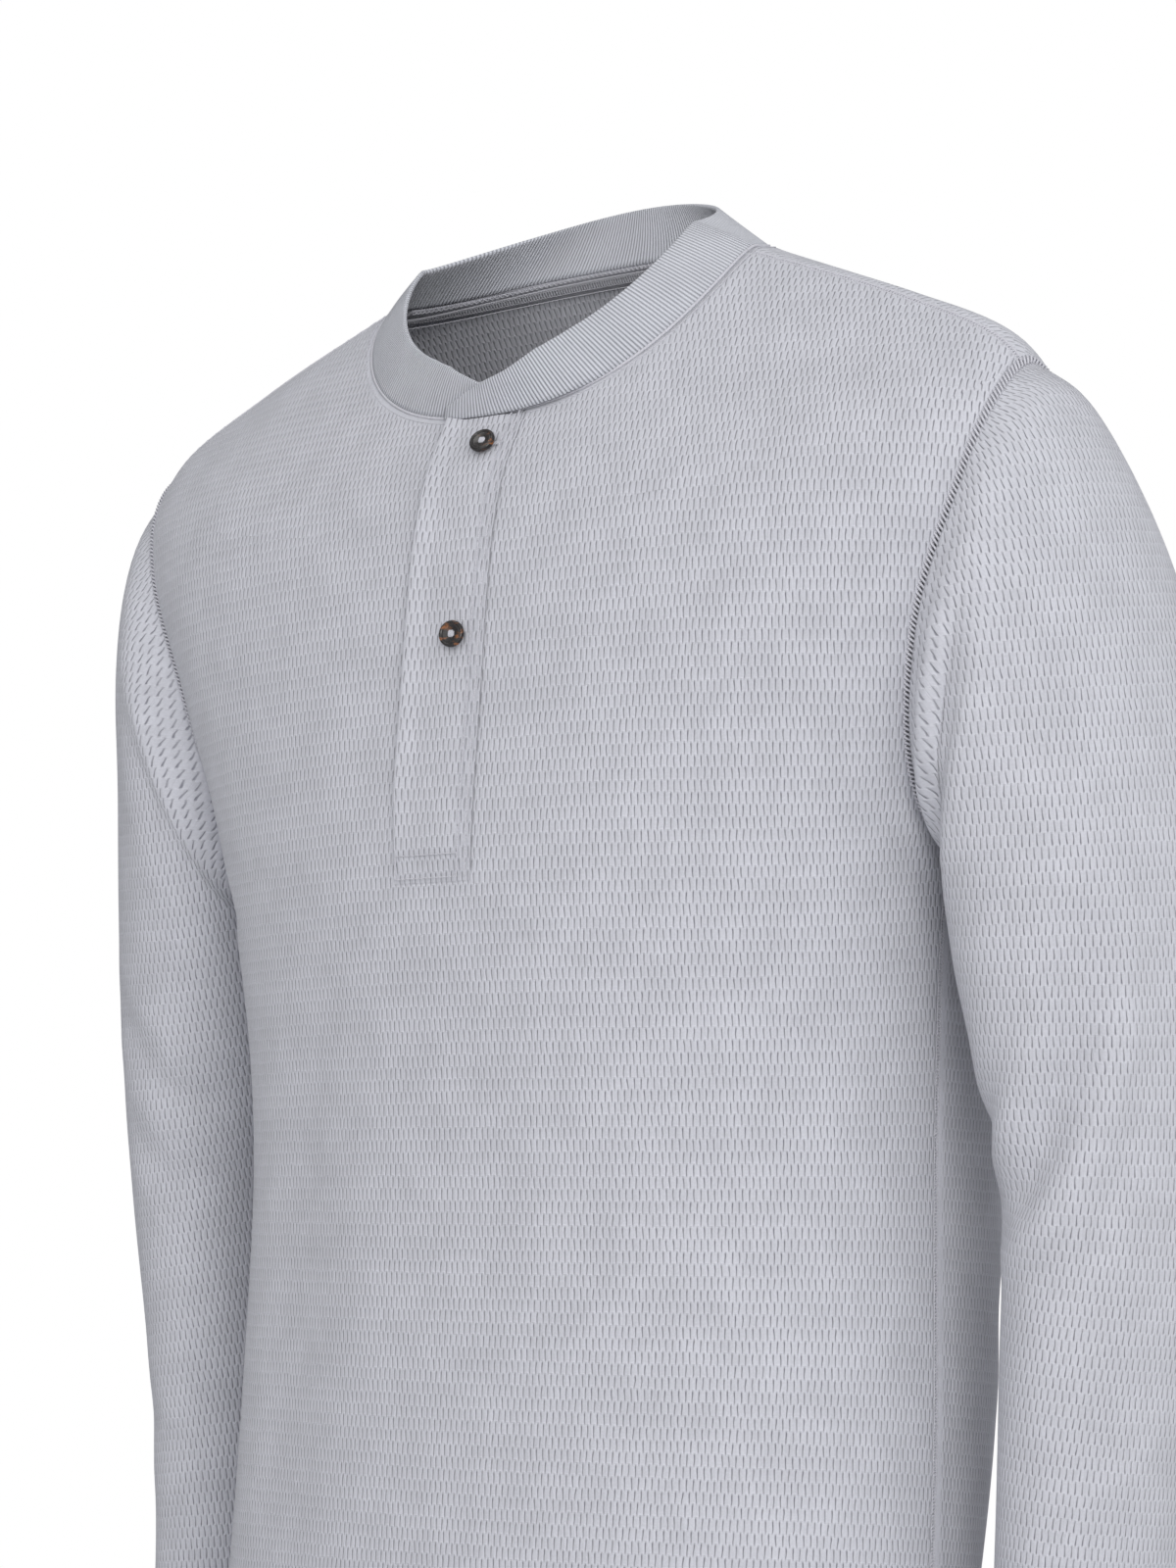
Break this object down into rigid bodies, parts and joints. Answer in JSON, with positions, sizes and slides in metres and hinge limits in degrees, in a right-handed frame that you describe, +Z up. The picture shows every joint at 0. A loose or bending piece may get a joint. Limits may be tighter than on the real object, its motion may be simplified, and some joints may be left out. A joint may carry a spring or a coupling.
{
  "type": "long-sleeved henley shirt",
  "caption": "Long-sleeved honeycomb-knit henley shirt with a rib band collar and a short buttoned placket, filled out as worn.",
  "frame": {"origin": "midway between the two high points of the shoulders, where the neck seam meets the shoulder seams, at their level", "axes": "+Z up, the wearer faces -Y, +X to the wearer's left"},
  "size_m": [0.5702, 0.2391, 0.7473],
  "materials": {
    "knit": "matt honeycomb knit of soft cotton, pale lilac grey",
    "rib": "matt fine rib, pale lilac grey",
    "tape": "matt woven tape, grey",
    "button": "polished imitation horn, near black with amber-brown streaks",
    "thread": "matt sewing thread, pale grey"
  },
  "bodies": {
    "root": {"front_panel": "knit", "back_panel": "knit", "sleeve_left": "knit", "sleeve_right": "knit", "placket_under": "knit", "placket_outer": "knit", "collar_band": "rib", "neck_tape": "tape", "button_1": "button", "button_thread_1": "thread", "button_2": "button", "button_thread_2": "thread"}
  },
  "joints": []
}
